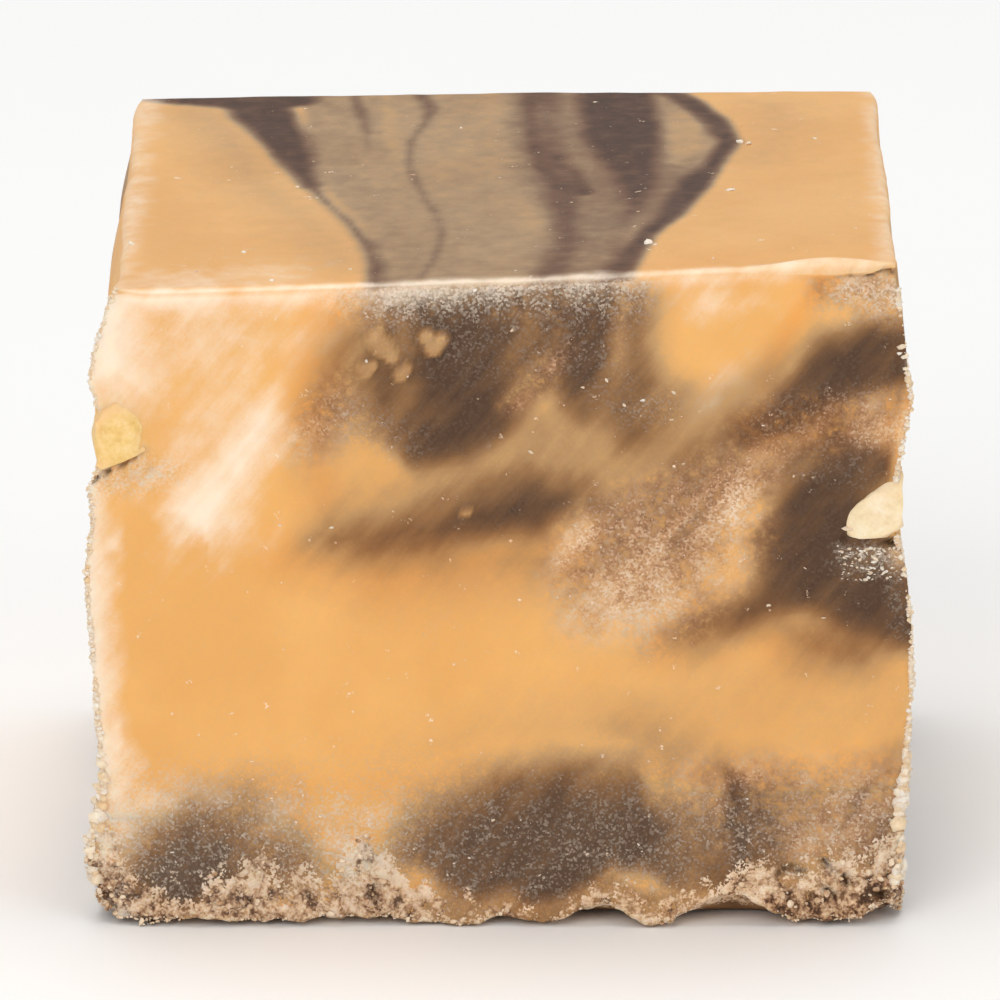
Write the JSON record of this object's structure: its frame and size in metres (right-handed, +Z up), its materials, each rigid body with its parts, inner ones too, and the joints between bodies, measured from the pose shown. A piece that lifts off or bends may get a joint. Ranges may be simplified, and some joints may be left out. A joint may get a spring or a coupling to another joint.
{
  "type": "fudge cube",
  "caption": "Hand-cut cube of layered fudge: a chocolate base with a crumbly rim, a caramel body marbled with chocolate, and cut nut pieces in its faces.",
  "frame": {"origin": "middle of the underside, on the surface that the cube stands on", "axes": "+Z up; -Y out of the rough, sugary cut face that is seen first; +X to the right of that face"},
  "size_m": [0.0328, 0.0322, 0.0265],
  "materials": {
    "caramel": "satin",
    "chocolate": "matte",
    "nut": "matte"
  },
  "bodies": {
    "root": {"chocolate_base": "chocolate", "caramel_body": "caramel", "nut_left": "nut", "nut_right": "nut", "nut_side": "nut", "nut_back_a": "nut", "nut_back_b": "nut"}
  },
  "joints": []
}
